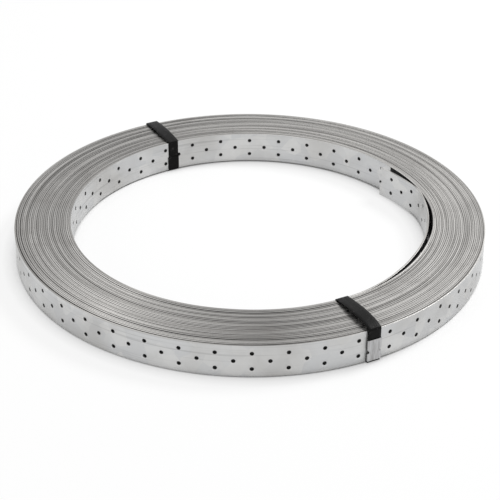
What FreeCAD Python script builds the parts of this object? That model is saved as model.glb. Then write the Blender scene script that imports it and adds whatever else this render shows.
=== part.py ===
# Roll of perforated galvanised steel anchor strap: a flat-wound coil of punched
# strip tied with two plastic packing bands, the front one closed by a crimped seal.
# Millimetres. Z is the coil's axis and the roll lies flat on Z = 0.
import FreeCAD, Part
import math
import os

# strap
strap_width = 40.0
strap_thickness = 2.0
hole_diameter = 5.0
row_offset = 10.0           # from the strap's centre line to each outer row of holes
pair_pitch = 40.0           # pair of holes to the next pair, a single hole midway between

# coil
turn_count = 31
turn_gap = 0.2
bore_radius = 222.0
groove_depth = 1.5          # how deep the gap between turns is cut into each end
# how far each turn has slid up its neighbours, inner turn first
turn_lift = [1.3, 1.3, 1.1, 0.4, 0.7, 0.9, 0.8, 0.5, 0.7, 1.0, 0.8, 0.3, 0.5, 0.7, 0.9, 0.6,
             0.4, 0.1, 0.3, 0.6, 0.7, 0.4, 0.2, 0.5, 0.7, 0.4, 0.0, 0.3, 0.5, 0.2, 0.0]
outer_pair_angle = -89.45   # azimuth of one pair on the outer wall
bore_pair_angle = 90.7      # azimuth of one pair on the bore wall
outer_end_angle = 118.4     # the strap's outer end lies under the back band

# inner end of the strap, standing off the bore wall: azimuth, gap behind it, and how
# much of the strap's thickness is there (its root merges into the innermost turn)
tail_stations = [(-60.0, -1.0, 0.4), (-50.0, -0.9, 0.7), (-41.5, -0.2, 1), (-33.0, 0.6, 1),
                 (-23.0, 2.2, 1), (-12.0, 2.9, 1), (-3.0, 3.1, 1), (4.0, 2.7, 1),
                 (9.0, 1.0, 1), (13.5, -0.7, 1), (18.5, -0.7, 1), (22.0, 1.2, 1),
                 (26.0, 3.8, 1), (30.5, 6.2, 1), (36.0, 9.0, 1)]
tail_pair_angle = 10.3      # azimuth of one pair on the standing part
tail_root_angle = -47.0     # holes before this azimuth belong to the bore wall

# packing bands
band_width = 16.0
band_thickness = 0.9
front_band_angle = -62.0
front_band_rise = 4.5       # how far the band arches above the coil
back_band_angle = 118.4
back_band_rise = 2.5
weld_overlap = 18.0         # length of the back band's doubled, welded joint
fold_radius = 0.7

# crimped seal on the front band
seal_length = 27.0
seal_thickness = 0.8
seal_foot = 3.0             # height of its lower end
seal_lip = 6.5              # width of each lip folded in behind the band
crimp_depth = 1.2
crimp_height = 5.0
crimp_share = 0.42          # how far up the seal the crimp is

turn_pitch = strap_thickness + turn_gap
# a flat band meets the hollow bore wall along its two edges
bore_leg = math.sqrt(bore_radius ** 2 - (band_width / 2) ** 2) - 0.05
coil_radius = bore_radius + turn_count * turn_pitch - turn_gap
coil_base = band_thickness
coil_top = coil_base + strap_width + max(turn_lift)


def lift_of(turn):
    return turn_lift[turn % len(turn_lift)]


def radial_hole(radius, angle, height, depth, tilt=0.0):
    """Cylinder entering a wall along its normal, from 1 mm in front of it."""
    turn = math.radians(angle + tilt)
    outward = FreeCAD.Vector(math.cos(turn), math.sin(turn), 0)
    place = math.radians(angle)
    point = FreeCAD.Vector(radius * math.cos(place), radius * math.sin(place), height)
    return Part.makeCylinder(hole_diameter / 2, depth, point, outward)


def coil_profile():
    """Half section of the wound strip: every turn a step of its own, gaps between."""
    bottom = []
    top = []
    for turn in range(turn_count):
        inner = bore_radius + turn * turn_pitch
        outer = inner + strap_thickness
        low = coil_base + lift_of(turn)
        high = low + strap_width
        bottom += [(inner, low), (outer, low)]
        top += [(inner, high), (outer, high)]
        if turn < turn_count - 1:
            low_floor = max(low, coil_base + lift_of(turn + 1)) + groove_depth
            high_floor = min(high, coil_base + lift_of(turn + 1) + strap_width) - groove_depth
            following = inner + turn_pitch
            bottom += [(outer, low_floor), (following, low_floor)]
            top += [(outer, high_floor), (following, high_floor)]
    points = [FreeCAD.Vector(r, 0, z) for r, z in bottom + top[::-1]]
    return Part.Face(Part.makePolygon(points + [points[0]]))


def wall_holes():
    """Blind holes, one strap deep, in the outer wall and in the bore wall."""
    cutters = []
    step = math.degrees(pair_pitch / coil_radius) / 2
    centre = coil_base + lift_of(turn_count - 1) + strap_width / 2
    clear = math.degrees((hole_diameter + 2) / coil_radius)
    for index in range(-200, 200):
        angle = outer_pair_angle + index * step
        if not outer_end_angle - 360 + clear < angle < outer_end_angle - clear:
            continue
        rows = (0,) if index % 2 else (-row_offset, row_offset)
        for row in rows:
            cutters.append(radial_hole(coil_radius - strap_thickness, angle, centre + row,
                                       strap_thickness + 1))
    step = math.degrees(pair_pitch / bore_radius) / 2
    centre = coil_base + lift_of(0) + strap_width / 2
    for index in range(-200, 200):
        angle = bore_pair_angle + index * step
        if not tail_stations[-1][0] + 3 < angle < 360 + tail_root_angle - 1:
            continue
        rows = (0,) if index % 2 else (-row_offset, row_offset)
        for row in rows:
            cutters.append(radial_hole(bore_radius - 1, angle, centre + row,
                                       strap_thickness + 1))
    return cutters


def tail_curve(inset):
    """Plan curve of one face of the standing end, inset towards the axis."""
    points = []
    for angle, gap, share in tail_stations:
        turn = math.radians(angle)
        radius = bore_radius - gap - inset * share
        points.append(FreeCAD.Vector(radius * math.cos(turn), radius * math.sin(turn), 0))
    curve = Part.BSplineCurve()
    curve.interpolate(points)
    return curve


def tail_holes(back):
    """Through holes of the standing end, stepped along its own length."""
    cutters = []
    low = coil_base + lift_of(0)
    start, end = back.FirstParameter, back.LastParameter
    total = back.length()
    samples = 2000
    lengths = []
    for index in range(samples + 1):
        point = back.value(start + (end - start) * index / samples)
        lengths.append((math.degrees(math.atan2(point.y, point.x)), total, point))
    distance = 0.0
    table = []
    for index, (angle, _, point) in enumerate(lengths):
        if index:
            distance += point.distanceToPoint(lengths[index - 1][2])
        table.append((distance, angle, point))
    origin = min(table, key=lambda row: abs(row[1] - tail_pair_angle))[0]
    for count in range(-40, 40):
        target = origin + count * pair_pitch / 2
        if not 0 <= target <= table[-1][0]:
            continue
        index = min(range(len(table)), key=lambda i: abs(table[i][0] - target))
        if table[index][1] < tail_root_angle:
            continue
        before = table[max(index - 1, 0)][2]
        after = table[min(index + 1, samples)][2]
        along = after.sub(before).normalize()
        outward = FreeCAD.Vector(along.y, -along.x, 0)
        rows = (0,) if count % 2 else (-row_offset, row_offset)
        for row in rows:
            height = low + strap_width / 2 + row
            point = table[index][2] + FreeCAD.Vector(0, 0, height) - outward * (strap_thickness + 1)
            cutters.append(Part.makeCylinder(hole_diameter / 2, strap_thickness + 1, point, outward))
    return cutters


def inner_tail():
    """The strap's inner end, springing off the bore wall, cut square through a hole."""
    back = tail_curve(0)
    front = tail_curve(strap_thickness)
    ends = [Part.LineSegment(back.StartPoint, front.StartPoint).toShape(),
            Part.LineSegment(back.EndPoint, front.EndPoint).toShape()]
    outline = Part.Wire(Part.__sortEdges__([back.toShape(), front.toShape()] + ends))
    strip = Part.Face(outline)
    strip.translate(FreeCAD.Vector(0, 0, coil_base + lift_of(0)))
    tail = strip.extrude(FreeCAD.Vector(0, 0, strap_width))
    return tail.cut(tail_holes(back))


def make_strap_coil():
    axis = FreeCAD.Vector(0, 0, 1)
    coil = coil_profile().revolve(FreeCAD.Vector(0, 0, 0), axis, 360)
    coil = coil.fuse(inner_tail())
    return coil.cut(wall_holes()).removeSplitter()


def band_outline(inner, outer, foot, shoulder, peak):
    """Closed loop round the coil's section in the XZ plane, arched over its top."""
    corner = [FreeCAD.Vector(x, -band_width / 2, z) for x, z in
              ((inner, shoulder), (inner, foot), (outer, foot), (outer, shoulder))]
    crown = FreeCAD.Vector((inner + outer) / 2, -band_width / 2, peak)
    edges = [Part.makeLine(corner[0], corner[1]), Part.makeLine(corner[1], corner[2]),
             Part.makeLine(corner[2], corner[3]),
             Part.Arc(corner[3], crown, corner[0]).toShape()]
    return Part.Wire(edges)


def make_band(stand_off, rise):
    """Flat band taken round the section: under, up both walls and over the top."""
    inner = bore_leg
    outer = coil_radius + stand_off
    shoulder = coil_top + 0.2
    hole = Part.Face(band_outline(inner, outer, coil_base, shoulder, shoulder + rise))
    t = band_thickness
    body = Part.Face(band_outline(inner - t, outer + t, coil_base - t, shoulder,
                                  shoulder + rise + t))
    width = FreeCAD.Vector(0, band_width, 0)
    block = body.extrude(width)
    corners = []
    for edge in block.Edges:
        first, last = edge.Vertexes[0].Point, edge.Vertexes[-1].Point
        if abs(first.y - last.y) > band_width / 2:
            corners.append(edge)
    block = block.makeFillet(fold_radius, corners)
    return block.cut(hole.extrude(width))


def make_front_band():
    band = make_band(seal_thickness, front_band_rise)
    band.rotate(FreeCAD.Vector(0, 0, 0), FreeCAD.Vector(0, 0, 1), front_band_angle)
    return band


def make_back_band():
    """Closed by welding its ends together, one over the other, on the bore side."""
    band = make_band(0, back_band_rise)
    face = bore_leg - band_thickness
    joint = Part.makeBox(band_thickness, band_width, weld_overlap,
                         FreeCAD.Vector(face - band_thickness, -band_width / 2, coil_base + 2))
    band = band.fuse(joint).removeSplitter()
    band.rotate(FreeCAD.Vector(0, 0, 0), FreeCAD.Vector(0, 0, 1), back_band_angle)
    return band


def make_seal():
    """Sheet sleeve folded round the band: face, two sides, two lips behind."""
    t = seal_thickness
    back = coil_radius
    half = band_width / 2
    depth = t + band_thickness + t
    shell = Part.makeBox(depth, 2 * (half + t), seal_length,
                         FreeCAD.Vector(back, -half - t, seal_foot))
    room = Part.makeBox(band_thickness, 2 * half, seal_length,
                        FreeCAD.Vector(back + t, -half, seal_foot))
    slot_half = half + t - seal_lip
    slot = Part.makeBox(t, 2 * slot_half, seal_length,
                        FreeCAD.Vector(back, -slot_half, seal_foot))
    seal = shell.cut([room, slot])
    # one crimp bites into each side
    bites = []
    for share in (crimp_share,):
        height = seal_foot + seal_length * share
        for side in (-1, 1):
            tip = side * (half + t - crimp_depth)
            wide = side * (half + t + 0.5)
            points = [FreeCAD.Vector(back - 1, y, z) for y, z in
                      ((tip, height), (wide, height + crimp_height / 2),
                       (wide, height - crimp_height / 2))]
            wedge = Part.Face(Part.makePolygon(points + [points[0]]))
            bites.append(wedge.extrude(FreeCAD.Vector(depth + 2, 0, 0)))
    seal = seal.cut(bites)
    seal.rotate(FreeCAD.Vector(0, 0, 0), FreeCAD.Vector(0, 0, 1), front_band_angle)
    return seal


os.makedirs("parts", exist_ok=True)
make_strap_coil().exportStep("parts/strap_coil.step")
make_front_band().exportStep("parts/binding_band_front.step")
make_back_band().exportStep("parts/binding_band_back.step")
make_seal().exportStep("parts/band_seal_front.step")
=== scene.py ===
import math
import bmesh
import bpy
import mathutils
import numpy as np
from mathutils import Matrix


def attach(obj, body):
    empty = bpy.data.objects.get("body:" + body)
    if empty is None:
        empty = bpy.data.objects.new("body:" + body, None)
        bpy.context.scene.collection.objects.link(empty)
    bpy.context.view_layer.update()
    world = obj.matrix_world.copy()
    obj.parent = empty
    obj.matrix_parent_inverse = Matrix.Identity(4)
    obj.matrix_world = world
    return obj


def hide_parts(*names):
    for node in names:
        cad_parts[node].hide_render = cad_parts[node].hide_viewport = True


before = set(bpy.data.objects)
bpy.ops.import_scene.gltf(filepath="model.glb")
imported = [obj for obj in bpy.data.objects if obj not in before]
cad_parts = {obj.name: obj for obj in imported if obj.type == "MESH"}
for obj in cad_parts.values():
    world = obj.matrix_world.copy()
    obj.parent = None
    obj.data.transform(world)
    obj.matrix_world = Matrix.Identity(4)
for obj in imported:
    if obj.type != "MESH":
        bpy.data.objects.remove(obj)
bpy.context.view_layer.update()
mm = 0.001

def hexColour(code):
    # sRGB hex to linear red, green, blue and a full alpha
    channels = [int(code[i:i + 2], 16) / 255 for i in (0, 2, 4)]
    return tuple(c / 12.92 if c <= 0.04045 else ((c + 0.055) / 1.055) ** 2.4 for c in channels) + (1.0,)


def smoothStep(x):
    # 0 below 0, 1 above 1, a cubic ease between
    x = np.clip(x, 0, 1)
    return x * x * (3 - 2 * x)


def makeObject(name, points, faces, materials=(), slots=None):
    # points is an N by 3 array in metres, faces a list of index arrays with 3, 4 or more
    # columns, slots one material number for each of those arrays
    mesh = bpy.data.meshes.new(name)
    loops = np.concatenate([np.asarray(f, dtype=np.int32).ravel() for f in faces])
    sizes = np.concatenate([np.full(len(f), np.asarray(f).shape[1], dtype=np.int32) for f in faces])
    starts = np.concatenate([[0], np.cumsum(sizes)[:-1]]).astype(np.int32)
    mesh.vertices.add(len(points))
    mesh.vertices.foreach_set("co", np.asarray(points, dtype=np.float32).ravel())
    mesh.loops.add(len(loops))
    mesh.loops.foreach_set("vertex_index", loops)
    mesh.polygons.add(len(sizes))
    mesh.polygons.foreach_set("loop_start", starts)
    mesh.polygons.foreach_set("loop_total", sizes)
    mesh.update(calc_edges=True)
    for material in materials:
        mesh.materials.append(material)
    if slots is not None:
        numbers = np.concatenate([np.full(len(f), n, dtype=np.int32) for f, n in zip(faces, slots)])
        mesh.polygons.foreach_set("material_index", numbers)
    mesh.validate()
    obj = bpy.data.objects.new(name, mesh)
    bpy.context.scene.collection.objects.link(obj)
    return obj


def addNode(tree, kind, settings=None, links=None):
    # one node of that kind; settings are node properties or socket values, links are socket: source socket
    node = tree.nodes.new(kind)
    for key, value in (settings or {}).items():
        if isinstance(key, int) or key in node.inputs:
            node.inputs[key].default_value = value
        else:
            setattr(node, key, value)
    for key, source in (links or {}).items():
        tree.links.new(source, node.inputs[key])
    return node


def newMaterial(name):
    material = bpy.data.materials.new(name)
    material.use_nodes = True
    material.node_tree.nodes.clear()
    return material, material.node_tree


def setRamp(node, stops):
    # stops are (place, colour) pairs, in order
    ramp = node.color_ramp
    while len(ramp.elements) < len(stops):
        ramp.elements.new(0.5)
    for element, (place, colour) in zip(ramp.elements, stops):
        element.position = place
        element.color = colour
    return node


strap = {
    "width": 40.0, "thickness": 2.0, "slitRound": 0.18, "holeRadius": 2.5, "pairPitch": 40.0,
    "baseHeight": 0.9,            # underside of the lowest turn, on the bands
    "turns": 30, "pitch": 2.18, "outerRadius": 289.95,
    "tipAzimuth": 36.2,           # cut end of the free inner end, through a hole
    "rootAzimuth": -56.0,         # where it leaves the bore wall
    "outerEndAzimuth": 118.4,     # outer end, under the back band
    "outerPairAzimuth": -89.45,
    "buttGap": 0.03,              # between the punched lengths and the plain one
    "paintedShadowTo": 34.5,             # up to here the bore wall behind the free end gets painted shadow, the dark gap material
    "tipUnshadedFrom": 33.0,         # from here the free end's outer face is plain zinc; before it, painted shade in its gap
    # wider gaps: turn, degrees travelled from the root, spread, size over an even gap
    "openGaps": [(29, 85, 35, 5.0), (28, 268, 28, 5.5), (27, 262, 20, 4.5), (27, 100, 30, 2.5),
                 (25, 60, 30, 2.0),
                 (23, 215, 20, 1.5), (18, 310, 20, 1.5), (14, 20, 25, 1.5), (8, 330, 18, 2.0),
                 (2, 262, 14, 3.5), (5, 282, 14, 3.5), (9, 55, 25, 1.5), (5, 150, 30, 1.5), (20, 170, 30, 1.5)],
    # bore wall: degrees travelled from the root and radius; the last is one turn out from the first
    "boreWall": [(0, 220.2), (20, 219.6), (40, 218.6), (60, 219.4), (100, 221.3), (214, 221.6), (244, 222.3),
                 (269, 223.2), (285, 225.0), (300, 225.9), (313, 224.7), (323, 223.1), (334, 222.4), (360,
                                                                                                      222.38)],
    # free end: azimuth and radius of its inner face; it touches the wall again near its end
    "freeEnd": [(-56, 220.2), (-46, 218.9), (-37, 217.0), (-27, 216.2), (-19, 216.6), (-4, 218.2), (7, 220.6),
                (15.5, 223.0), (18.5, 222.6), (22, 219.6), (26, 217.0), (30.5, 214.6), (36.5, 211.2)],
    # sideways slide of each turn, innermost first
    "lift": [1.3, 1.3, 1.1, 0.4, 0.7, 0.9, 0.8, 0.5, 0.7, 1.0, 0.8, 0.3, 0.5, 0.7, 0.9, 0.6,
             0.4, 0.1, 0.3, 0.6, 0.7, 0.4, 0.2, 0.5, 0.7, 0.4, 0.0, 0.3, 0.5, 0.2, 0.05],
}


def windStrap(p):
    # Radius of the strap's inner face against the angle travelled from its root. Going out
    # by one turn adds the thickness and a gap, so radii are running sums down a table of
    # turn by angle; the gaps are scaled so that every column fills the same wall.
    steps = 720
    share = np.arange(steps) / steps
    angle = share * 2 * np.pi
    turns = p["turns"]
    turn = np.arange(turns)[:, None]
    gap = 1.0 + 0.5 * np.sin(3 * angle[None, :] + 1.7 * turn) * np.sin(2 * angle[None, :] - 0.6 * turn)
    for row, middle, spread, amount in p["openGaps"]:
        away = np.abs((share * 360 - middle + 180) % 360 - 180)
        gap[row] += amount * np.exp(-(away / spread) ** 2)
    window = smoothStep(np.minimum(angle, 2 * np.pi - angle) / 0.3)[None, :]   # even where turns meet
    gap = 1.0 + (gap - 1.0) * window
    # the bore wall from its stations, smoothed over a few degrees with its one-turn step kept
    raw = np.interp(share * 360, *np.transpose(p["boreWall"])) - p["pitch"] * share
    kernel = np.hanning(13)
    kernel /= kernel.sum()
    first = np.convolve(np.concatenate([raw[-6:], raw, raw[:6]]), kernel, mode="valid") + p["pitch"] * share
    ending = (p["rootAzimuth"] - p["outerEndAzimuth"]) % 360 / 360
    last = p["outerRadius"] - p["thickness"] - p["pitch"] * (ending - share)
    gap *= ((last - first - turns * p["thickness"]) / gap.sum(axis=0))[None, :]
    radius = first[None, :] + np.vstack([np.zeros((1, steps)), np.cumsum(p["thickness"] + gap, axis=0)])
    travelled = np.arange(turns + 1)[:, None] * 2 * np.pi + angle[None, :]
    return travelled.ravel(), radius.ravel()


def strapPath(p):
    # Plan of the inner face as a fine polyline by length: the free end's stations first,
    # eased by a short Hann window, then the turns, azimuth falling all the way.
    travelled, radius = windStrap(p)
    root = math.radians(p["rootAzimuth"])
    last = 2 * np.pi * p["turns"] + (root - math.radians(p["outerEndAzimuth"])) % (2 * np.pi)
    keep = travelled <= last + 0.02
    azTail = np.radians(np.arange(p["tipAzimuth"], p["rootAzimuth"], -0.25))
    raw = np.interp(np.degrees(azTail), *np.transpose(p["freeEnd"]))
    kernel = np.hanning(15)
    kernel /= kernel.sum()
    padded = np.concatenate([2 * raw[0] - raw[7:0:-1], raw, 2 * raw[-1] - raw[-2:-9:-1]])
    tail = np.convolve(padded, kernel, mode="valid")
    tail += np.linspace(0, radius[0] - tail[-1], len(tail))
    azimuth = np.concatenate([azTail, root - travelled[keep]])
    rad = np.concatenate([tail, radius[keep]])
    lift = np.concatenate([np.zeros(len(azTail)), travelled[keep] / (2 * np.pi)])
    x, y = rad * np.cos(azimuth), rad * np.sin(azimuth)
    # lengths are along the middle of the strap's thickness, which bending leaves as punched
    middle = rad + p["thickness"] / 2
    steps = np.hypot(np.diff(middle * np.cos(azimuth)), np.diff(middle * np.sin(azimuth)))
    length = np.concatenate([[0], np.cumsum(steps)])
    dx, dy = np.gradient(x, length), np.gradient(y, length)
    norm = np.hypot(dx, dy)
    table = np.array(p["lift"])
    centres = np.arange(len(table)) + 0.5
    slide = np.interp(lift, centres, table)
    # a lifted part of each turn wanders a little round the roll
    outward = -np.sign(-dy * x + dx * y)         # which normal points away from the axis
    slide = slide + 0.12 * np.sin(2.0 * azimuth + 5.1 * np.floor(lift)) * np.sin(np.pi * (lift % 1)) ** 2
    return {"length": length, "x": x, "y": y, "nx": outward * dy / norm, "ny": -outward * dx / norm,
            "lift": np.clip(slide, 0.0, None), "azimuth": azimuth, "turn": lift}


def placeOnPath(path, p, along, across, outward):
    # A point goes to path(along), plus outward along the wall's normal, plus across up the axis.
    at = lambda key: np.interp(along, path["length"], path[key])
    x, y = at("x") + at("nx") * outward, at("y") + at("ny") * outward
    z = p["baseHeight"] + p["width"] / 2 + at("lift") + across
    return np.stack([x, y, z], axis=-1) * mm


def punchedCell(p):
    # One 40 mm length of punched strip as a flat patch: a lattice whose squares round the
    # holes are left out and filled with rings, square to circle. Returns points (along,
    # across), quads, the rings' rims and the lattice columns.
    alongLines = np.array([-5, -2.5, 0, 2.5, 5, 10, 15, 17.5, 20, 22.5, 25, 30, 35.0])
    edge = p["width"] / 2 - p["slitRound"]
    acrossLines = np.array([-edge, -15, -12.5, -10, -7.5, -5, -2.5, 0, 2.5, 5, 7.5, 10, 12.5, 15, edge])
    a, b = np.meshgrid(alongLines, acrossLines, indexing="ij")
    points = np.stack([a.ravel(), b.ravel()], axis=1)
    i, j = np.meshgrid(np.arange(len(alongLines) - 1), np.arange(len(acrossLines) - 1), indexing="ij")
    n = len(acrossLines)
    quads = np.stack([i * n + j, (i + 1) * n + j, (i + 1) * n + j + 1, i * n + j + 1], axis=-1).reshape(-1, 4)
    middle = points[quads].mean(axis=1)
    centres = np.array([(0, 10.0), (0, -10.0), (20.0, 0)])
    inHole = np.zeros(len(quads), bool)
    for centre in centres:
        inHole |= (np.abs(middle - centre) < 5).all(axis=1)
    quads = quads[~inHole]
    rims = []
    turnAngle = np.arange(16) / 16 * 2 * np.pi
    circle = np.stack([np.cos(turnAngle), np.sin(turnAngle)], axis=1)
    # the square's sixteen lattice points, in the same order as the circle's
    square = np.array([(2, 0), (2, 1), (2, 2), (1, 2), (0, 2), (-1, 2), (-2, 2), (-2, 1),
                       (-2, 0), (-2, -1), (-2, -2), (-1, -2), (0, -2), (1, -2), (2, -2), (2, -1)]) * 2.5
    for centre in centres:
        corner = centre + square
        index = np.array([np.argmin(np.abs(points - c).sum(axis=1)) for c in corner])
        start = len(points)
        ring = np.arange(16)
        points = np.vstack([points, centre + circle * (p["holeRadius"] + 0.35),
                            centre + circle * p["holeRadius"]])
        outerRing, innerRing = start + ring, start + 16 + ring
        for first, second in ((index, outerRing), (outerRing, innerRing)):
            quads = np.vstack([quads, np.stack([first, np.roll(first, -1), np.roll(second, -1), second],
                                               axis=1)])
        rims.append(innerRing)
    return points, quads, np.array(rims), n


def punchedStrip(path, p, start, cells, clipLow, clipHigh):
    # The cell repeated along the path, front and back faces, hole walls and slit edges,
    # kept between the two clip lengths, which lie on lattice lines.
    flat, quads, rims, rows = punchedCell(p)
    count = len(flat)
    shift = np.arange(cells) * p["pairPitch"]
    along = (flat[:, 0][None, :] + shift[:, None] + start).ravel()
    across = np.tile(flat[:, 1], cells)
    quads = (quads[None] + (np.arange(cells) * count)[:, None, None]).reshape(-1, 4)
    rims = (rims[None] + (np.arange(cells) * count)[:, None, None]).reshape(-1, 16)
    middle = along[quads].mean(axis=1)
    quads = quads[(middle > clipLow) & (middle < clipHigh)]
    # hole walls: rim segments whose both ends are inside the clip
    segment = np.stack([rims, np.roll(rims, -1, axis=1)], axis=-1).reshape(-1, 2)
    inside = (along[segment].mean(axis=1) > clipLow) & (along[segment].mean(axis=1) < clipHigh)
    segment = segment[inside]
    total = len(along)
    t, r = p["thickness"], p["slitRound"]
    rimSet = np.zeros(total)
    rimSet[np.unique(rims)] = 1
    # rolled-in edge of each punched hole: the rim sits a little below the face
    inner = placeOnPath(path, p, along, across, 0.14 * rimSet)
    outer = placeOnPath(path, p, along, across, t - 0.14 * rimSet)
    points = [inner, outer]
    faces = [quads, quads[:, ::-1] + total]
    walls = np.stack([segment[:, 1], segment[:, 0], segment[:, 0] + total, segment[:, 1] + total], axis=1)
    faces.append(walls)
    # slit edges, as a chain of lattice columns
    lines = np.unique(np.round(along[(np.abs(np.abs(across) - (p["width"] / 2 - r)) < 1e-6)], 4))
    lines = lines[(lines > clipLow - 0.01) & (lines < clipHigh + 0.01)]
    m = len(lines)
    edge = p["width"] / 2
    offset = 2 * total
    for sign in (1, -1):
        profile = [(sign * (edge - r), 0), (sign * (edge - 0.3 * r), 0.3 * r), (sign * edge, r),
                   (sign * edge, t - r), (sign * (edge - 0.3 * r), t - 0.3 * r), (sign * (edge - r), t)]
        for v, w in profile:
            points.append(placeOnPath(path, p, lines, np.full(m, v), w))
        k = np.arange(m - 1)
        for q in range(len(profile) - 1):
            a, b = offset + q * m + k, offset + (q + 1) * m + k
            strip = np.stack([a, a + 1, b + 1, b], axis=1)
            faces.append(strip if sign > 0 else strip[:, ::-1])
        offset += len(profile) * m
    return np.vstack(points), faces


def plainStrip(path, p, start, end, step):
    # Eight-sided rounded strip section carried along the path between two lengths.
    m = int((end - start) / step) + 1
    along = np.linspace(start, end, m)
    e, r, t = p["width"] / 2, p["slitRound"], p["thickness"]
    section = [(-e + r, 0), (e - r, 0), (e, r), (e, t - r), (e - r, t), (-e + r, t), (-e, t - r), (-e, r)]
    points = np.vstack([placeOnPath(path, p, along, np.full(m, v), w) for v, w in section])
    k = np.arange(m - 1)
    faces = []
    for q in range(8):
        a, b = q * m + k, ((q + 1) % 8) * m + k
        faces.append(np.stack([a, b, b + 1, a + 1], axis=1))
    ring = np.arange(8) * m
    faces.append(ring[None, ::-1])
    faces.append((ring + m - 1)[None, :])
    return points, faces


def strapCoil(p, materials):
    # The whole strap: punched free end and bore turn, plain buried turns, punched outer turn.
    path = strapPath(p)
    lengthAt = lambda azimuth: np.interp(-math.radians(azimuth), -path["azimuth"], path["length"])
    firstEnd = lengthAt(p["rootAzimuth"] - 362)
    lastAzimuth = p["rootAzimuth"] - 360 * p["turns"] - (p["rootAzimuth"] - p["outerEndAzimuth"]) % 360
    end = lengthAt(lastAzimuth)
    pairAzimuth = p["outerPairAzimuth"] - 360 * p["turns"]
    pairLength = lengthAt(pairAzimuth)
    pitch = p["pairPitch"]
    groups = []
    # free end: lattice column 20 of the first cell is the cut, so it runs through a hole
    cells = int(firstEnd / pitch) + 1
    stop = pitch * cells - 25 + 10
    groups.append(punchedStrip(path, p, -20.0, cells, 0.0, stop))
    # outer turn: whole cells backwards and forwards from the stated pair
    begin = lengthAt(lastAzimuth + 361)
    back = int((pairLength - begin) / pitch) + 1
    ahead = int((end - pairLength) / pitch) + 2
    start = pairLength - back * pitch
    lattice = np.array([-5, 0, 5, 10, 15, 20, 25, 30.0])
    lines = (start + np.arange(back + ahead)[:, None] * pitch + lattice[None]).ravel()
    low = lines[np.argmin(np.abs(lines - begin))]
    high = lines[np.argmin(np.abs(lines - end))]
    groups.append(punchedStrip(path, p, start, back + ahead, low, high))
    plain = plainStrip(path, p, stop + p["buttGap"], low - p["buttGap"], 9.0)
    # faces buried between turns get the dark gap material, painted shade, the rest bright zinc: the free end
    # shows its inner face and near its tip its outer face, the bore turn its inner face, the outer turn its
    # outer face
    points, faces, slots, base = [], [], [], 0
    for number, (vertices, sheets) in enumerate(groups + [plain]):
        for index, sheet in enumerate(sheets):
            dark = [index == 1, index == 0, index in (0, 1, 3, 4, 5, 7)][number]
            if number == 0 and index in (0, 1):
                # painted shadow: the bore wall behind the free end gets the dark gap material, and so does the
                # free end's outer face short of its tip
                middle = vertices[sheet].mean(axis=1)
                azimuths = np.degrees(np.arctan2(middle[:, 1], middle[:, 0]))
                radii = np.hypot(middle[:, 0], middle[:, 1]) / mm
                beyond = radii - np.interp(azimuths, *np.transpose(p["freeEnd"]))
                onWall, onFreeEnd = beyond > 0.6 * p["thickness"], beyond < 1.3 * p["thickness"]
                behind = onWall & (azimuths > p["rootAzimuth"]) & (azimuths < p["paintedShadowTo"])
                tip = onFreeEnd & (azimuths > p["tipUnshadedFrom"]) & (azimuths < p["tipAzimuth"] + 1.8)
                shown = ~behind if index == 0 else tip
                faces += [sheet[shown] + base, sheet[~shown] + base]
                slots += [0, 1]
                continue
            faces.append(sheet + base)
            slots.append(int(dark))
        points.append(vertices)
        base += len(vertices)
    return makeObject("strap_coil_wound", np.vstack(points), faces, materials, slots), path


def finishMesh(obj, angle=40):
    # doubles merged, loose points dropped, open cut ends filled, faces made to point outwards
    work = bmesh.new()
    work.from_mesh(obj.data)
    bmesh.ops.remove_doubles(work, verts=work.verts, dist=0.00001)
    bmesh.ops.delete(work, geom=[v for v in work.verts if not v.link_faces], context="VERTS")
    openEdges = [e for e in work.edges if len(e.link_faces) == 1]
    if openEdges:
        bmesh.ops.holes_fill(work, edges=openEdges, sides=0)
    bmesh.ops.recalc_face_normals(work, faces=work.faces)
    left = sum(len(e.link_faces) != 2 for e in work.edges)
    work.to_mesh(obj.data)
    work.free()
    obj.data.shade_smooth()
    obj.data.set_sharp_from_angle(angle=math.radians(angle))
    print(obj.name, "faces", len(obj.data.polygons), "edges not shared by two faces", left)


# Hot-dip galvanised strip: a thin zinc skin, slightly blue grey, soft metallic sheen with
# faint cloudy spangle and rolling lines along the strip.
zincLook = {"colour": "D0D0CF", "cloud": "C4C5C6", "dull": "B9B8B6", "slit": "DDDBD8", "slitDark": "A5A3A0",
            "stain": "8E8B88",
            # azimuth round the roll and a brightness for the sheared edges there: painted light and shade, set
            # into their colour
            "paintedLightRound": [(-180, 0.62), (-152, 0.72), (-125, 1.0), (-103, 0.66), (-85, 0.44), (-55, 0.72),
                         (0, 0.70),
                         (45, 0.71), (90, 0.72), (135, 0.56), (180, 0.62)],
            "roughness": 0.4, "spanglePerMetre": 60.0, "linesPerMetre": 420.0, "turnMm": 2.16}


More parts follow.
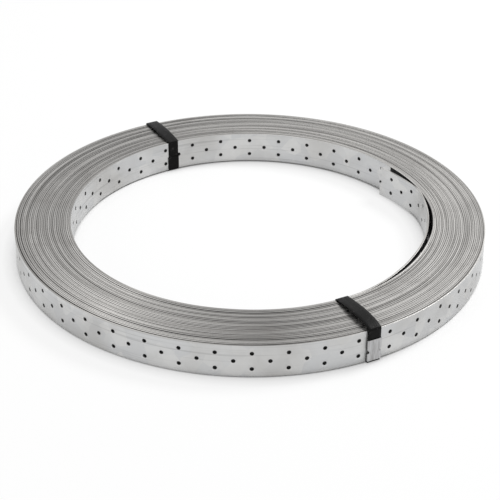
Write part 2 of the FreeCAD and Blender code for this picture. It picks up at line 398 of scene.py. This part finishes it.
def makeZinc(p):
    material, tree = newMaterial("galvanised_zinc")
    coords = addNode(tree, "ShaderNodeTexCoord")
    place = coords.outputs["Object"]
    spangle = addNode(tree, "ShaderNodeTexVoronoi", {"Scale": p["spanglePerMetre"]}, {"Vector": place})
    grain = addNode(tree, "ShaderNodeTexNoise", {"Scale": 14.0, "Detail": 5.0}, {"Vector": place})
    stretched = addNode(tree, "ShaderNodeMapping", {"Scale": (5.0, 5.0, p["linesPerMetre"])}, {"Vector": place})
    lines = addNode(tree, "ShaderNodeTexNoise", {"Scale": 1.0, "Detail": 3.0}, {"Vector": stretched.outputs[0]})
    split = addNode(tree, "ShaderNodeSeparateColor", None, {"Color": spangle.outputs["Color"]})
    cloud = addNode(tree, "ShaderNodeMix", {"data_type": "RGBA", 6: hexColour(p["colour"]),
                                            7: hexColour(p["cloud"])},
                    {0: split.outputs[0]})
    dullMask = setRamp(addNode(tree, "ShaderNodeValToRGB", None, {"Fac": grain.outputs["Fac"]}),
                       [(0.45, (0, 0, 0, 1)), (0.75, (1, 1, 1, 1))])
    faceColour = addNode(tree, "ShaderNodeMix", {"data_type": "RGBA", 7: hexColour(p["dull"])},
                         {0: dullMask.outputs["Color"], 6: cloud.outputs[2]})
    # sheared edges on the ends of the roll: each turn its own grey, by distance from the axis
    position = addNode(tree, "ShaderNodeSeparateXYZ", None, {"Vector": place})
    flat = addNode(tree, "ShaderNodeCombineXYZ", None, {"X": position.outputs["X"], "Y": position.outputs["Y"]})
    radius = addNode(tree, "ShaderNodeVectorMath", {"operation": "LENGTH"}, {0: flat.outputs[0]})
    turnNumber = addNode(tree, "ShaderNodeMath", {"operation": "MULTIPLY", 1: 1 / (p["turnMm"] * mm)},
                         {0: radius.outputs["Value"]})
    slow = addNode(tree, "ShaderNodeMapping", {"Scale": (5.0, 5.0, 0.0)}, {"Vector": place})
    mixed = addNode(tree, "ShaderNodeSeparateXYZ", None, {"Vector": slow.outputs[0]})
    streakPlace = addNode(tree, "ShaderNodeCombineXYZ", None, {"X": mixed.outputs["X"], "Y": mixed.outputs["Y"],
                                                              "Z": turnNumber.outputs[0]})
    streak = addNode(tree, "ShaderNodeTexNoise", {"Scale": 0.9, "Detail": 2.0},
                     {"Vector": streakPlace.outputs[0]})
    slit = setRamp(addNode(tree, "ShaderNodeValToRGB", None, {"Fac": streak.outputs["Fac"]}),
                   [(0.34, hexColour(p["slitDark"])), (0.6, hexColour(p["slit"]))])
    # painted light and shade: the sheared edges' colour is made lighter or darker by azimuth round the roll
    around = addNode(tree, "ShaderNodeTexGradient", {"gradient_type": "RADIAL"}, {"Vector": place})
    paintedLightRamp = setRamp(addNode(tree, "ShaderNodeValToRGB", None, {"Fac": around.outputs["Fac"]}),
                   [(a / 360 + 0.5, (t, t, t, 1)) for a, t in p["paintedLightRound"]])
    slitWithPaintedLight = addNode(tree, "ShaderNodeMix", {"data_type": "RGBA", "blend_type": "MULTIPLY", 0: 1.0},
                        {6: slit.outputs["Color"], 7: paintedLightRamp.outputs["Color"]})
    patch = addNode(tree, "ShaderNodeTexNoise", {"Scale": 9.0, "Detail": 6.0, "Roughness": 0.65},
                    {"Vector": place})
    stainMask = setRamp(addNode(tree, "ShaderNodeValToRGB", None, {"Fac": patch.outputs["Fac"]}),
                        [(0.55, (0, 0, 0, 1)), (0.72, (0.7, 0.7, 0.7, 1))])
    slitStained = addNode(tree, "ShaderNodeMix", {"data_type": "RGBA", 7: hexColour(p["stain"])},
                          {0: stainMask.outputs["Color"], 6: slitWithPaintedLight.outputs[2]})
    normal = addNode(tree, "ShaderNodeSeparateXYZ", None,
                     {"Vector": addNode(tree, "ShaderNodeNewGeometry").outputs["Normal"]})
    steep = addNode(tree, "ShaderNodeMath", {"operation": "ABSOLUTE"}, {0: normal.outputs["Z"]})
    isEnd = addNode(tree, "ShaderNodeMath", {"operation": "GREATER_THAN", 1: 0.6}, {0: steep.outputs[0]})
    zincColour = addNode(tree, "ShaderNodeMix", {"data_type": "RGBA"},
                         {0: isEnd.outputs[0], 6: faceColour.outputs[2], 7: slitStained.outputs[2]})
    lineMask = setRamp(addNode(tree, "ShaderNodeValToRGB", None, {"Fac": lines.outputs["Fac"]}),
                       [(0.30, hexColour("BEBEBE")), (0.42, (1, 1, 1, 1))])
    colour = addNode(tree, "ShaderNodeMix", {"data_type": "RGBA", "blend_type": "MULTIPLY", 0: 0.4},
                     {6: zincColour.outputs[2], 7: lineMask.outputs["Color"]})
    rough = addNode(tree, "ShaderNodeMapRange", {"To Min": p["roughness"] - 0.08,
                                                 "To Max": p["roughness"] + 0.1},
                    {"Value": grain.outputs["Fac"]})
    bump = addNode(tree, "ShaderNodeBump", {"Strength": 0.1, "Distance": 0.0004},
                   {"Height": lines.outputs["Fac"]})
    shader = addNode(tree, "ShaderNodeBsdfPrincipled", {"Metallic": 1.0},
                     {"Base Color": colour.outputs[2], "Roughness": rough.outputs[0],
                      "Normal": bump.outputs[0]})
    addNode(tree, "ShaderNodeOutputMaterial", None, {"Surface": shader.outputs[0]})
    return material


def makeGapShadeZinc():
    # the same zinc between turns as painted shade: nearly black and dull, so each gap reads as a dark line
    material, tree = newMaterial("galvanised_zinc_painted_gap_shade")
    coords = addNode(tree, "ShaderNodeTexCoord")
    grain = addNode(tree, "ShaderNodeTexNoise", {"Scale": 60.0, "Detail": 3.0},
                    {"Vector": coords.outputs["Object"]})
    colour = setRamp(addNode(tree, "ShaderNodeValToRGB", None, {"Fac": grain.outputs["Fac"]}),
                     [(0.3, hexColour("121212")), (0.7, hexColour("262627"))])
    shader = addNode(tree, "ShaderNodeBsdfPrincipled", {"Metallic": 0.3, "Roughness": 0.7},
                     {"Base Color": colour.outputs["Color"]})
    addNode(tree, "ShaderNodeOutputMaterial", None, {"Surface": shader.outputs[0]})
    return material


# Embossed polypropylene packing band: black, satin, with a fine woven-looking press pattern
# along its faces and dusty scuffs scattered over it.
bandLook = {"colour": "0A0A0A", "scuff": "403E3F", "roughness": 0.38, "embossMm": 1.7}


def makeBandPlastic(p):
    material, tree = newMaterial("black_polypropylene")
    coords = addNode(tree, "ShaderNodeTexCoord")
    place = coords.outputs["UV"]
    pattern = addNode(tree, "ShaderNodeTexVoronoi", {"Scale": 1.0, "distance": "CHEBYCHEV", "Randomness": 0.15},
                      {"Vector": addNode(tree, "ShaderNodeMapping",
                                         {"Scale": (1 / (p["embossMm"] * mm), 1 / (p["embossMm"] * mm), 1.0),
                                          "Rotation": (0, 0, math.radians(45))}, {"Vector": place}).outputs[0]})
    grain = addNode(tree, "ShaderNodeTexNoise", {"Scale": 260.0, "Detail": 4.0},
                    {"Vector": coords.outputs["Object"]})
    scuffMask = setRamp(addNode(tree, "ShaderNodeValToRGB", None, {"Fac": grain.outputs["Fac"]}),
                        [(0.6, (0, 0, 0, 1)), (0.8, (1, 1, 1, 1))])
    colour = addNode(tree, "ShaderNodeMix", {"data_type": "RGBA", 6: hexColour(p["colour"]),
                                             7: hexColour(p["scuff"])},
                     {0: scuffMask.outputs["Color"]})
    bump = addNode(tree, "ShaderNodeBump", {"Strength": 0.6, "Distance": 0.0004},
                   {"Height": pattern.outputs["Distance"]})
    rough = addNode(tree, "ShaderNodeMapRange", {"To Min": p["roughness"] - 0.08,
                                                 "To Max": p["roughness"] + 0.12},
                    {"Value": grain.outputs["Fac"]})
    shader = addNode(tree, "ShaderNodeBsdfPrincipled", {"IOR": 1.49, "Specular IOR Level": 0.09},
                     {"Base Color": colour.outputs[2], "Roughness": rough.outputs[0],
                      "Normal": bump.outputs[0]})
    addNode(tree, "ShaderNodeOutputMaterial", None, {"Surface": shader.outputs[0]})
    return material


# Cold-rolled seal sheet: plain steel, a little brighter than the strap, fine rolling lines.
sealLook = {"colour": "B9B9BA", "worn": "8F8E8D", "roughness": 0.36}


def makeSealSteel(p):
    material, tree = newMaterial("cold_rolled_seal_steel")
    coords = addNode(tree, "ShaderNodeTexCoord")
    stretched = addNode(tree, "ShaderNodeMapping", {"Scale": (400.0, 400.0, 60.0)},
                        {"Vector": coords.outputs["Object"]})
    grain = addNode(tree, "ShaderNodeTexNoise", {"Scale": 1.0, "Detail": 4.0}, {"Vector": stretched.outputs[0]})
    colour = setRamp(addNode(tree, "ShaderNodeValToRGB", None, {"Fac": grain.outputs["Fac"]}),
                     [(0.3, hexColour(p["worn"])), (0.6, hexColour(p["colour"]))])
    bump = addNode(tree, "ShaderNodeBump", {"Strength": 0.1, "Distance": 0.0003},
                   {"Height": grain.outputs["Fac"]})
    shader = addNode(tree, "ShaderNodeBsdfPrincipled", {"Metallic": 1.0, "Roughness": p["roughness"]},
                     {"Base Color": colour.outputs["Color"], "Normal": bump.outputs[0]})
    addNode(tree, "ShaderNodeOutputMaterial", None, {"Surface": shader.outputs[0]})
    return material


bands = {
    "front": {"azimuth": -62.0, "bore": 220.0, "outer": 290.8, "shoulder": 42.4, "rise": 4.3, "lean": 0.62,
              "lapFrom": None, "replaces": "binding_band_front"},
    "back": {"azimuth": 118.4, "bore": 222.3, "outer": 290.0, "shoulder": 42.4, "rise": 2.2, "lean": 0.5,
             "lapFrom": (2.9, 20.9), "replaces": "binding_band_back"},
}
bandStock = {"width": 16.0, "thickness": 0.9, "fold": 1.1}


def bandRoute(p, stock):
    # Inner line of the loop in the plane of radius and height, anticlockwise from the floor:
    # straight legs, a crown that rises as a skewed sine, and corners eased by averaging.
    n = 160
    base = stock["thickness"]
    crownX = np.linspace(p["outer"], p["bore"], n)
    share = np.linspace(0, 1, n)
    skew = share ** (math.log(0.5) / math.log(1 - p["lean"]))
    crownZ = p["shoulder"] + p["rise"] * np.sin(np.pi * skew) ** 0.85
    under = np.linspace(p["bore"], p["outer"], n)
    up = np.linspace(base, p["shoulder"], n)
    x = np.concatenate([under, np.full(n, p["outer"]), crownX, np.full(n, p["bore"])])
    z = np.concatenate([np.full(n, base), up, crownZ, up[::-1]])
    length = np.concatenate([[0], np.cumsum(np.hypot(np.diff(x), np.diff(z)))])
    total = length[-1]
    even = np.arange(int(total / 0.5)) * (total / int(total / 0.5))
    x, z = np.interp(even, length, x), np.interp(even, length, z)
    kernel = np.hanning(5)
    kernel /= kernel.sum()
    wrap = lambda a: np.convolve(np.concatenate([a[-2:], a, a[:2]]), kernel, mode="valid")
    return wrap(x), wrap(z), total


def makeBand(name, p, stock, material):
    # Rounded flat section (across the band and through it) carried round the closed route.
    x, z, total = bandRoute(p, stock)
    dx, dz = np.roll(x, -1) - np.roll(x, 1), np.roll(z, -1) - np.roll(z, 1)
    norm = np.hypot(dx, dz)
    nx, nz = dz / norm, -dx / norm
    t, w = stock["thickness"], stock["width"] / 2
    across = np.array([-w + 0.3, -w / 2, 0, w / 2, w - 0.3, w, w, w - 0.3, w / 2, 0, -w / 2, -w + 0.3, -w, -w])
    through = np.array([0, 0, 0, 0, 0, 0.25, t - 0.25, t, t, t, t, t, t - 0.25, 0.25])
    m, k = len(x), len(across)
    radial = x[:, None] + nx[:, None] * through[None]
    height = np.maximum(z[:, None] + nz[:, None] * through[None], 0.0)
    side = np.broadcast_to(across[None], radial.shape)
    a = math.radians(p["azimuth"])
    points = np.stack([radial * math.cos(a) - side * math.sin(a),
                       radial * math.sin(a) + side * math.cos(a), height], axis=-1).reshape(-1, 3) * mm
    i, j = np.meshgrid(np.arange(m), np.arange(k), indexing="ij")
    following, beside = (i + 1) % m, (j + 1) % k
    quads = np.stack([i * k + j, i * k + beside, following * k + beside, following * k + j],
                     axis=-1).reshape(-1, 4)
    u = np.stack([i, i, i + 1, i + 1], axis=-1).reshape(-1) * (total / m) * mm
    v = np.stack([across[j], across[beside], across[beside], across[j]], axis=-1).reshape(-1) * mm
    faces, uv = [quads], [np.stack([u, v], axis=1)]
    if p["lapFrom"]:
        # the welded lap: a second thickness on the bore side, tapered at its ends
        low, high = p["lapFrom"]
        h = np.linspace(low, high, 40)
        thick = 0.9 * np.minimum(1, np.minimum(h - low, high - h) / 0.35 + 0.12)
        ring = [(-w + 0.2, 0), (w - 0.2, 0), (w - 0.2, 1), (-w + 0.2, 1)]
        face = p["bore"] - t + 0.02
        r = np.stack([face - q * thick for _, q in ring], axis=1)
        s = np.broadcast_to(np.array([v_ for v_, _ in ring])[None], r.shape)
        lap = np.stack([r * math.cos(a) - s * math.sin(a), r * math.sin(a) + s * math.cos(a),
                        np.broadcast_to(h[:, None], r.shape)], axis=-1).reshape(-1, 3) * mm
        i, j = np.meshgrid(np.arange(39), np.arange(4), indexing="ij")
        lapQuads = np.stack([i * 4 + j, i * 4 + (j + 1) % 4, (i + 1) * 4 + (j + 1) % 4, (i + 1) * 4 + j],
                            axis=-1)
        ends = np.array([[0, 1, 2, 3], [159, 158, 157, 156]])
        lapQuads = np.vstack([lapQuads.reshape(-1, 4), ends])
        faces.append(lapQuads + len(points))
        uv.append(np.stack([lap[lapQuads.ravel(), 2], s.ravel()[lapQuads.ravel() % s.size] * mm], axis=1))
        points = np.vstack([points, lap])
    obj = makeObject(name, points, faces, [material])
    layer = obj.data.uv_layers.new(name="bandSurface")
    layer.data.foreach_set("uv", np.concatenate(uv).astype(np.float32).ravel())
    return obj


seal = {"azimuth": -62.0, "length": 27.0, "foot": 3.0, "thickness": 0.75, "wall": 290.0, "depth": 2.5,
        "halfWidth": 8.8, "lip": 6.5, "crimps": (0.42,), "bite": 2.0, "crimpHeight": 3.0}


def makeSeal(p, material):
    # Bent sheet: an outer outline from lip round the face to lip, its inset twin behind it,
    # both carried up the seal; each crimp pinches the sides in as a bell curve of height.
    q, h, t = p["depth"], p["halfWidth"], p["thickness"]
    outer = np.array([(0, -h + p["lip"]), (0, -h + 0.8), (0.25, -h + 0.25), (0.8, -h), (q - 0.7, -h),
                      (q - 0.2, -h + 0.2),
                      (q, -h + 0.7), (q, -h / 2), (q, 0), (q, h / 2), (q, h - 0.7), (q - 0.2,
                                                                                     h - 0.2), (q - 0.7, h),
                      (0.8, h), (0.25, h - 0.25), (0, h - 0.8), (0, h - p["lip"])])
    inner = np.array([(t, -h + p["lip"]), (t, -h + 1.2), (t, -h + t + 0.1), (t + 0.1, -h + t),
                      (q - t - 0.1, -h + t),
                      (q - t, -h + t + 0.1), (q - t, -h + 1.2), (q - t, -h / 2), (q - t, 0), (q - t,
                                                                                              h / 2), (q - t,
                                                                                                       h - 1.2),
                      (q - t, h - t - 0.1), (q - t - 0.1, h - t), (t + 0.1, h - t), (t, h - t - 0.1), (t,
                                                                                                       h - 1.2),
                      (t, h - p["lip"])])
    outline = np.vstack([outer, inner[::-1]])
    n, m = len(outline), 61
    height = np.linspace(0, p["length"], m)
    pinch = sum(np.exp(-((height - c * p["length"]) / p["crimpHeight"] * 1.4) ** 4) for c in p["crimps"])
    side = outline[None, :, 1] * np.ones((m, 1))
    near = smoothStep((np.abs(side) - 5.0) / 3.0)
    side = side - np.sign(side) * near * pinch[:, None] * p["bite"]
    depth = outline[None, :, 0] + 0.25 * near * pinch[:, None]
    depth = np.clip(depth, 0, q)
    a = math.radians(p["azimuth"])
    r = p["wall"] + depth
    z = np.broadcast_to((p["foot"] + height)[:, None], r.shape)
    points = np.stack([r * math.cos(a) - side * math.sin(a), r * math.sin(a) + side * math.cos(a), z],
                      axis=-1).reshape(-1, 3) * mm
    i, j = np.meshgrid(np.arange(m - 1), np.arange(n), indexing="ij")
    beside = (j + 1) % n
    quads = np.stack([i * n + j, i * n + beside, (i + 1) * n + beside, (i + 1) * n + j], axis=-1).reshape(-1, 4)
    k = np.arange(len(outer) - 1)
    endCap = np.stack([k, k + 1, n - 2 - k, n - 1 - k], axis=1)
    return makeObject("band_seal_front_crimped", points, [quads, endCap[:, ::-1], endCap + (m - 1) * n],
                      [material])


zinc, gapShadeZinc = makeZinc(zincLook), makeGapShadeZinc()
bandPlastic, sealSteel = makeBandPlastic(bandLook), makeSealSteel(sealLook)
print("materials made")

coil, path = strapCoil(strap, [zinc, gapShadeZinc])
finishMesh(coil)
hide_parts("strap_coil")
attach(coil, "root")
print("strap wound,", round(float(path["length"][-1]) / 1000, 2), "m")

for key, p in bands.items():
    band = makeBand("packing_band_" + key, p, bandStock, bandPlastic)
    finishMesh(band, 50)
    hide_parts(p["replaces"])
    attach(band, "root")
clip = makeSeal(seal, sealSteel)
finishMesh(clip, 50)
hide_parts("band_seal_front")
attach(clip, "root")
print("bands and seal made")

def whiteForView(tree, strength=1.0):
    # the mix that makes a surface or the world plain white to camera, glossy and transmission rays
    ray = addNode(tree, "ShaderNodeLightPath")
    seen = addNode(tree, "ShaderNodeMath", {"operation": "MAXIMUM"},
                   {0: ray.outputs["Is Camera Ray"], 1: ray.outputs["Is Glossy Ray"]})
    seen = addNode(tree, "ShaderNodeMath", {"operation": "MAXIMUM"},
                   {0: seen.outputs[0], 1: ray.outputs["Is Transmission Ray"]})
    share = addNode(tree, "ShaderNodeMath", {"operation": "MULTIPLY", 1: strength}, {0: seen.outputs[0]})
    return share.outputs[0]


# floor glow by distance from the middle of the roll's wall, in tenths of a metre: none under
# the roll, rising to full a few centimetres outside it; this ring paints part of the contact shadow
studio = {"floorWhite": 0.8, "worldLevel": 0.62, "wallMiddle": 0.256, "floorHalf": 12.0,
          "paintedContactShadow": [(0.33, 0.0), (0.345, 0.35), (0.42, 0.72), (0.52, 1.0)]}
floorMaterial, tree = newMaterial("white_studio_floor")
paint = addNode(tree, "ShaderNodeBsdfDiffuse", {"Color": (0.93, 0.93, 0.93, 1)})
glow = addNode(tree, "ShaderNodeEmission", {"Color": (1, 1, 1, 1), "Strength": 1.0})
flat = addNode(tree, "ShaderNodeVectorMath", {"operation": "LENGTH"},
               {0: addNode(tree, "ShaderNodeTexCoord").outputs["Object"]})
fromWall = addNode(tree, "ShaderNodeMath", {"operation": "SUBTRACT", 1: studio["wallMiddle"]},
                   {0: flat.outputs["Value"]})
fromWall = addNode(tree, "ShaderNodeMath", {"operation": "ABSOLUTE"}, {0: fromWall.outputs[0]})
tenfold = addNode(tree, "ShaderNodeMath", {"operation": "MULTIPLY", 1: 10.0}, {0: fromWall.outputs[0]})
# painted contact shadow: less white glow in a ring round the roll's wall
away = setRamp(addNode(tree, "ShaderNodeValToRGB", None, {"Fac": tenfold.outputs[0]}),
               [(place, (level, level, level, 1)) for place, level in studio["paintedContactShadow"]])
share = addNode(tree, "ShaderNodeMath", {"operation": "MULTIPLY"},
                {0: whiteForView(tree, studio["floorWhite"]), 1: away.outputs["Color"]})
both = addNode(tree, "ShaderNodeMixShader", None, {0: share.outputs[0], 1: paint.outputs[0],
                                                   2: glow.outputs[0]})
addNode(tree, "ShaderNodeOutputMaterial", None, {"Surface": both.outputs[0]})
floorCorners = np.array([(-1, -1, 0), (1, -1, 0), (1, 1, 0), (-1, 1, 0)]) * studio["floorHalf"]
floor = makeObject("studio_floor", floorCorners,
                   [np.array([[0, 1, 2, 3]])], [floorMaterial])

world = bpy.data.worlds.new("studio_world")
bpy.context.scene.world = world
world.use_nodes = True
world.node_tree.nodes.clear()
tree = world.node_tree
plain = addNode(tree, "ShaderNodeBackground", {"Color": (1, 1, 1, 1), "Strength": studio["worldLevel"]})
white = addNode(tree, "ShaderNodeBackground", {"Color": (1, 1, 1, 1), "Strength": 1.0})
both = addNode(tree, "ShaderNodeMixShader", None, {0: whiteForView(tree), 1: plain.outputs[0],
                                                   2: white.outputs[0]})
addNode(tree, "ShaderNodeOutputWorld", None, {"Surface": both.outputs[0]})


def addLamp(name, place, target, size, power):
    # an area lamp at place, aimed at target
    lamp = bpy.data.lights.new(name, "AREA")
    lamp.shape, lamp.size, lamp.energy = "DISK", size, power
    obj = bpy.data.objects.new(name, lamp)
    bpy.context.scene.collection.objects.link(obj)
    aim = mathutils.Vector(target) - mathutils.Vector(place)
    obj.rotation_euler = aim.to_track_quat("-Z", "Y").to_euler()
    obj.location = place
    return obj


addLamp("key", (1.5, 1.1, 2.1), (0, 0, 0), 0.9, 46)
addLamp("fill", (-2.2, -1.8, 1.5), (0, 0, 0), 1.6, 14)

view = {"place": (-0.0001, -1.587, 0.930), "elevation": 30.66, "roll": 0.42, "lens": 105.7}
camera = bpy.data.cameras.new("camera")
camera.lens, camera.sensor_width, camera.clip_end = view["lens"], 36.0, 50.0
cameraObject = bpy.data.objects.new("camera", camera)
e, roll = math.radians(view["elevation"]), math.radians(view["roll"])
forward = mathutils.Vector((0, math.cos(e), -math.sin(e)))
right = mathutils.Vector((1, 0, 0))
up = right.cross(forward)
tiltedRight = right * math.cos(roll) + up * math.sin(roll)
tiltedUp = up * math.cos(roll) - right * math.sin(roll)
cameraObject.matrix_world = mathutils.Matrix.Translation(view["place"]) @ \
    mathutils.Matrix((tiltedRight, tiltedUp, -forward)).transposed().to_4x4()
bpy.context.scene.collection.objects.link(cameraObject)
bpy.context.scene.camera = cameraObject
bpy.context.scene.view_settings.view_transform = "Standard"
print("studio ready")
